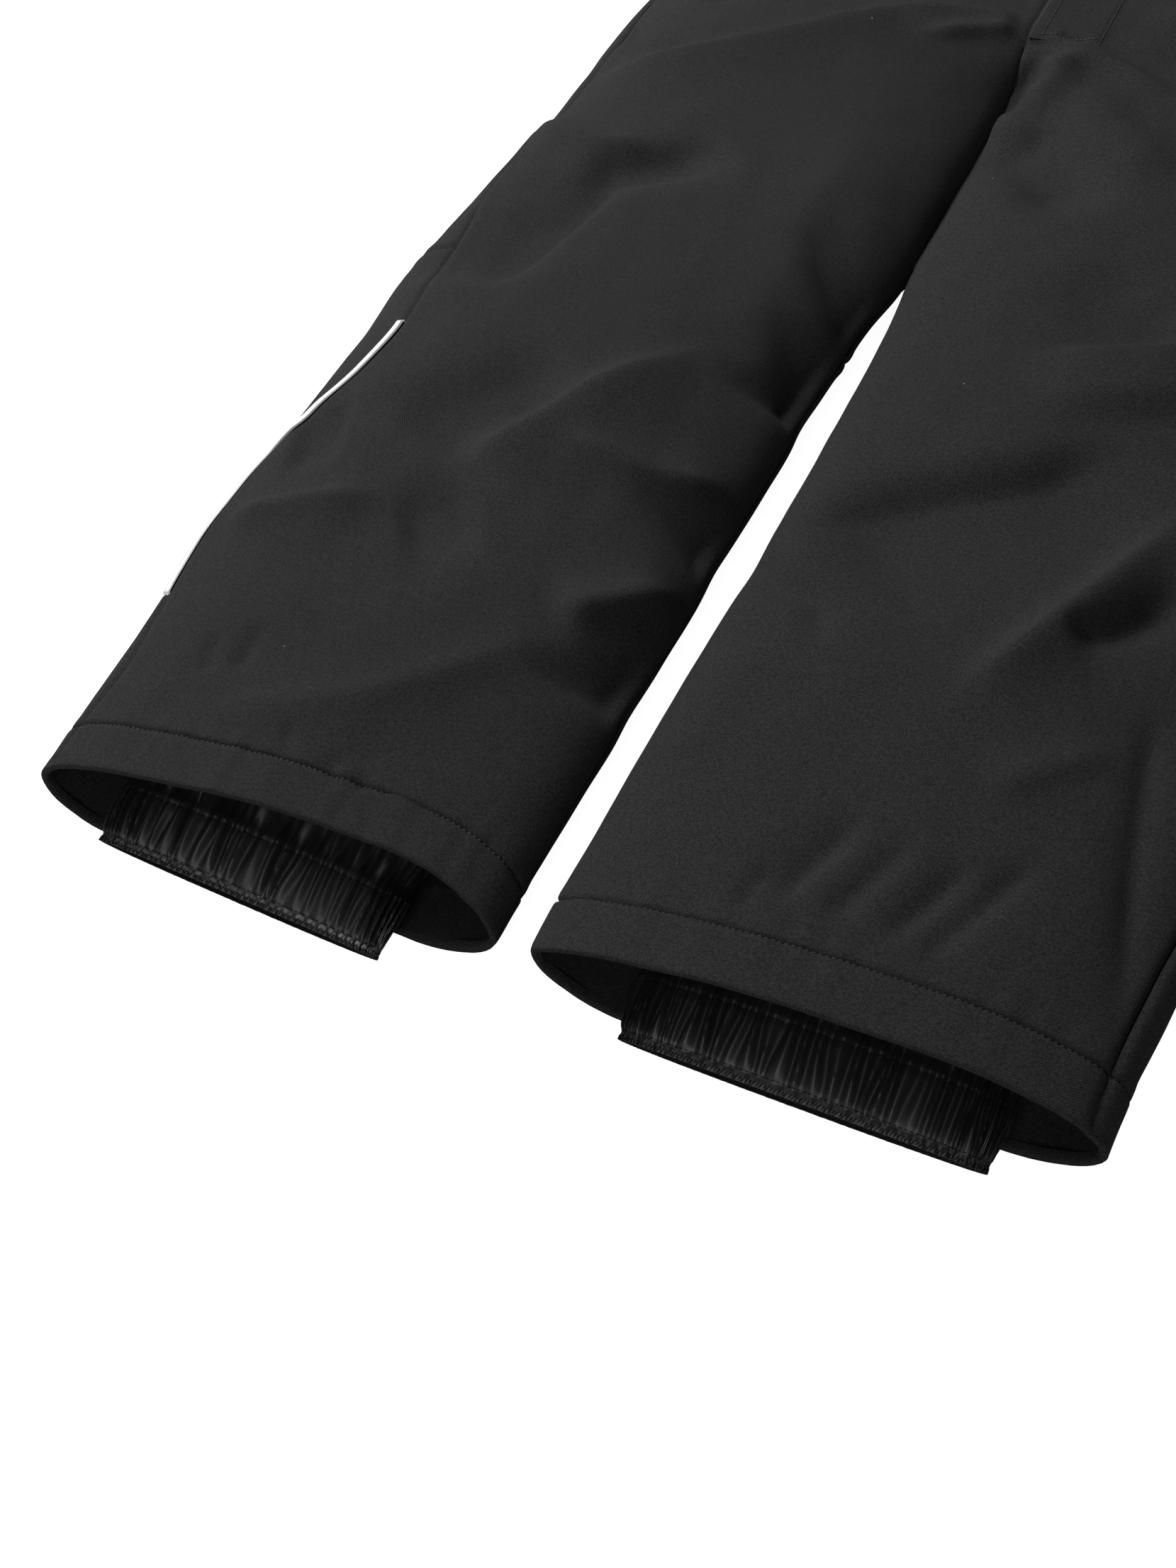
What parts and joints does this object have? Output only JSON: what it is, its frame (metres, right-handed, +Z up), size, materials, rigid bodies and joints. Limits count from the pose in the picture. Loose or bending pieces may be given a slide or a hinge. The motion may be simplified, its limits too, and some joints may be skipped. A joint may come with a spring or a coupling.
{
  "type": "ski pants",
  "caption": "Insulated ski pants lying flat, with fly, zipped hand pockets, elastic snow gaiters inside the hems and reflective side piping.",
  "frame": {"origin": "on the ground under the middle of the garment's length and width", "axes": "+Y from the hems to the waist, +X to the wearer's left, +Z up out of the garment's front"},
  "size_m": [0.503, 0.975, 0.0601],
  "materials": {
    "shell_cloth": "matt stretch-woven polyester, charcoal black",
    "taffeta": "glossy black taffeta lining",
    "insulation": "white polyester wadding",
    "reflective_tape": "silver-grey retroreflective piping",
    "webbing": "black woven tape and elastic",
    "coated_zip": "matt black coated zip",
    "dark_metal": "gunmetal lacquer"
  },
  "bodies": {
    "hips": {"left_front_thigh_panel": "shell_cloth", "right_front_thigh_panel": "shell_cloth", "left_back_thigh_panel": "shell_cloth", "right_back_thigh_panel": "shell_cloth", "left_thigh_insulation": "insulation", "right_thigh_insulation": "insulation", "left_thigh_lining": "taffeta", "right_thigh_lining": "taffeta", "left_front_waistband": "shell_cloth", "right_front_waistband": "shell_cloth", "back_waistband": "shell_cloth", "waist_elastic": "webbing", "front_waist_facing": "taffeta", "back_waist_facing": "taffeta", "snap_stud": "dark_metal", "fly_shield": "shell_cloth", "fly_zip_tape": "webbing", "fly_zip_teeth": "dark_metal", "fly_bottom_stop": "dark_metal", "left_pocket_bag": "taffeta", "right_pocket_bag": "taffeta", "left_pocket_zip": "coated_zip", "right_pocket_zip": "coated_zip", "left_adjuster_patch": "webbing", "right_adjuster_patch": "webbing", "belt_loops": "shell_cloth"},
    "fly_flap": {"fly_flap": "shell_cloth", "fly_facing": "taffeta", "waist_tab": "shell_cloth", "snap_cap": "dark_metal"},
    "fly_slider": {"fly_slider": "dark_metal", "fly_pull": "dark_metal"},
    "left_lower_leg": {"left_front_shin_panel": "shell_cloth", "left_back_calf_panel": "shell_cloth", "left_shin_insulation": "insulation", "left_shin_lining": "taffeta", "left_hem_facing": "shell_cloth", "left_reflective_piping": "reflective_tape", "left_gaiter_skirt": "taffeta"},
    "left_gaiter": {"left_gaiter_cuff": "taffeta", "left_gaiter_elastic": "webbing"},
    "left_pocket_slider": {"left_pocket_slider": "dark_metal"},
    "left_pocket_pull": {"left_pocket_pull": "dark_metal"},
    "left_adjuster": {"left_waist_adjuster": "shell_cloth"},
    "right_lower_leg": {"right_front_shin_panel": "shell_cloth", "right_back_calf_panel": "shell_cloth", "right_shin_insulation": "insulation", "right_shin_lining": "taffeta", "right_hem_facing": "shell_cloth", "right_reflective_piping": "reflective_tape", "right_gaiter_skirt": "taffeta"},
    "right_gaiter": {"right_gaiter_cuff": "taffeta", "right_gaiter_elastic": "webbing"},
    "right_pocket_slider": {"right_pocket_slider": "dark_metal"},
    "right_pocket_pull": {"right_pocket_pull": "dark_metal"},
    "right_adjuster": {"right_waist_adjuster": "shell_cloth"}
  },
  "joints": [
    {"name": "left_knee_fold", "type": "hinge", "parent": "hips", "child": "left_lower_leg", "pos_m": [0.126, -0.0795, 0.0548], "axis": [-1, 0, 0], "range_deg": [0, 150]},
    {"name": "left_gaiter_pull_down", "type": "slide", "parent": "left_lower_leg", "child": "left_gaiter", "axis": [0, 1, 0], "range_m": [-0.04, 0]},
    {"name": "left_pocket_zip_run", "type": "slide", "parent": "hips", "child": "left_pocket_slider", "axis": [0.4929, -0.8698, -0.0221], "range_m": [0, 0.112]},
    {"name": "left_pocket_pull_lift", "type": "hinge", "parent": "left_pocket_slider", "child": "left_pocket_pull", "pos_m": [0.12445, 0.38311, 0.05925], "axis": [-0.87, -0.493, 0], "range_deg": [0, 150]},
    {"name": "left_adjuster_peel", "type": "hinge", "parent": "hips", "child": "left_adjuster", "pos_m": [0.1664, 0.4325, 0.0574], "axis": [0, 1, 0], "range_deg": [0, 150]},
    {"name": "right_knee_fold", "type": "hinge", "parent": "hips", "child": "right_lower_leg", "pos_m": [-0.126, -0.0795, 0.0548], "axis": [-1, 0, 0], "range_deg": [0, 150]},
    {"name": "right_gaiter_pull_down", "type": "slide", "parent": "right_lower_leg", "child": "right_gaiter", "axis": [0, 1, 0], "range_m": [-0.04, 0]},
    {"name": "right_pocket_zip_run", "type": "slide", "parent": "hips", "child": "right_pocket_slider", "axis": [-0.4929, -0.8698, -0.0221], "range_m": [0, 0.112]},
    {"name": "right_pocket_pull_lift", "type": "hinge", "parent": "right_pocket_slider", "child": "right_pocket_pull", "pos_m": [-0.12445, 0.38311, 0.05925], "axis": [-0.87, 0.493, 0], "range_deg": [0, 150]},
    {"name": "right_adjuster_peel", "type": "hinge", "parent": "hips", "child": "right_adjuster", "pos_m": [-0.1664, 0.4325, 0.0574], "axis": [0, -1, 0], "range_deg": [0, 150]},
    {"name": "fly_flap_open", "type": "hinge", "parent": "hips", "child": "fly_flap", "pos_m": [0.04, 0.3175, 0.0545], "axis": [0, 1, 0], "range_deg": [0, 150]},
    {"name": "fly_zip_run", "type": "slide", "parent": "hips", "child": "fly_slider", "axis": [0, 1, 0], "range_m": [-0.15, 0]}
  ]
}
